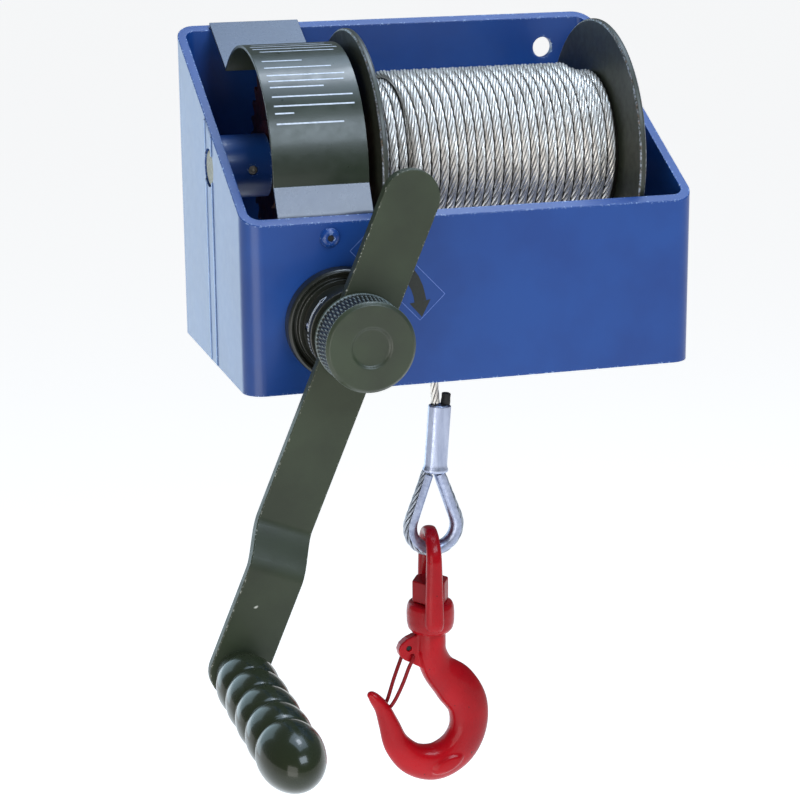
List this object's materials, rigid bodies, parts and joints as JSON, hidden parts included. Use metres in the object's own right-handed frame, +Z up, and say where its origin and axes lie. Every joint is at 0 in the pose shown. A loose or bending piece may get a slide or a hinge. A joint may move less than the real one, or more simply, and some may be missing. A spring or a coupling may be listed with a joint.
{
  "type": "wire rope puller",
  "caption": "Wall-mounted hand winch: crank and worm gear turn a flanged drum of wire rope that ends in a ferruled eye with a swivel safety hook.",
  "frame": {"origin": "the middle of the back plate's wall face: half way across its width and half way up its height", "axes": "+X to the right seen from the front, +Y into the wall, +Z up"},
  "size_m": [0.2866, 0.35, 0.4235],
  "materials": {
    "frame_paint": "glossy blue enamel",
    "black_paint": "satin black paint, olive cast",
    "grip_plastic": "glossy black plastic",
    "hook_paint": "glossy red paint over a forging",
    "steel": "turned steel",
    "zinc": "bright zinc plate",
    "rope_wire": "galvanised wire",
    "cast_iron": "machined cast iron with grease",
    "bronze": "plain bearing bronze",
    "friction": "pressed friction lining",
    "tape": "black tape"
  },
  "bodies": {
    "housing": {"front_shell": "frame_paint", "back_shell": "frame_paint", "seam_left_lower": "frame_paint", "seam_left_upper": "frame_paint", "seam_right_lower": "frame_paint", "seam_right_upper": "frame_paint", "boss_left": "frame_paint", "boss_right": "frame_paint", "axle_set_screw": "steel", "drum_axle": "steel", "gear_cover": "black_paint", "cover_screw": "frame_paint", "cover_nut": "steel", "bearing_flange": "black_paint", "flange_screw_1": "steel", "flange_screw_2": "steel", "flange_screw_3": "steel", "front_bush": "bronze", "worm_bracket": "frame_paint", "rear_bush": "bronze"},
    "drum": {"worm_wheel": "cast_iron", "drum_flange_left": "black_paint", "drum_flange_right": "black_paint", "drum_barrel": "black_paint", "drum_bush_left": "bronze", "drum_bush_right": "bronze", "wound_rope": "rope_wire", "rope_tail": "rope_wire", "rope_clamp": "steel", "clamp_screw_1": "steel", "clamp_screw_2": "steel"},
    "crank": {"worm_shaft": "steel", "retaining_ring": "steel", "friction_washer": "friction", "crank_hub": "black_paint", "hub_screw": "steel"},
    "arm": {"crank_arm": "black_paint", "grip_spindle": "steel", "grip_collar": "black_paint"},
    "knob": {"clamp_knob": "black_paint"},
    "grip": {"grip": "grip_plastic"},
    "rope_end": {"free_rope": "rope_wire", "ferrule": "zinc", "taped_end": "tape", "eye_rope": "rope_wire", "thimble": "zinc"},
    "bow": {"swivel_bow": "hook_paint"},
    "hook": {"hook_nut": "hook_paint", "hook_body": "hook_paint", "latch_pin": "steel"},
    "latch": {"latch_bail": "hook_paint"}
  },
  "joints": [
    {"name": "crank_turn", "type": "hinge", "parent": "housing", "child": "crank", "pos_m": [-0.0743, -0.165, -0.0511], "axis": [0, 1, 0], "range_deg": [-9360, 936]},
    {"name": "drum_turn", "type": "hinge", "parent": "housing", "child": "drum", "pos_m": [0, -0.086, 0.0206], "axis": [-1, 0, 0], "range_deg": [-247, 25]},
    {"name": "hook_lift", "type": "slide", "parent": "housing", "child": "rope_end", "axis": [0, 0, 1], "range_m": [-0.201, 0.021], "deforming": ["free_rope"]},
    {"name": "arm_slide", "type": "slide", "parent": "crank", "child": "arm", "axis": [0.3859, 0, 0.9225], "range_m": [-0.06, 0.075]},
    {"name": "knob_turn", "type": "hinge", "parent": "crank", "child": "knob", "pos_m": [-0.0743, -0.165, -0.0511], "axis": [0, 1, 0], "range_deg": [-360, 0]},
    {"name": "grip_spin", "type": "hinge", "parent": "arm", "child": "grip", "pos_m": [-0.14415, -0.245, -0.21808], "axis": [0, 1, 0], "continuous": true},
    {"name": "bow_swing", "type": "hinge", "parent": "rope_end", "child": "bow", "pos_m": [-0.014, -0.1325, -0.1788], "axis": [0, 1, 0], "range_deg": [-45, 45]},
    {"name": "hook_swivel", "type": "hinge", "parent": "bow", "child": "hook", "pos_m": [-0.016, -0.1325, -0.23], "axis": [0, 0, 1], "continuous": true},
    {"name": "latch_hinge", "type": "hinge", "parent": "hook", "child": "latch", "pos_m": [-0.0273, -0.1325, -0.2497], "axis": [0, -1, 0], "range_deg": [0, 35], "stiffness_Nm_per_rad": 0.03, "springref_deg": -34.38}
  ],
  "couplings": [
    {"joint": "drum_turn", "follows": "crank_turn", "ratio": 0.026316},
    {"joint": "hook_lift", "follows": "crank_turn", "m_per_rad": 0.0012237}
  ]
}
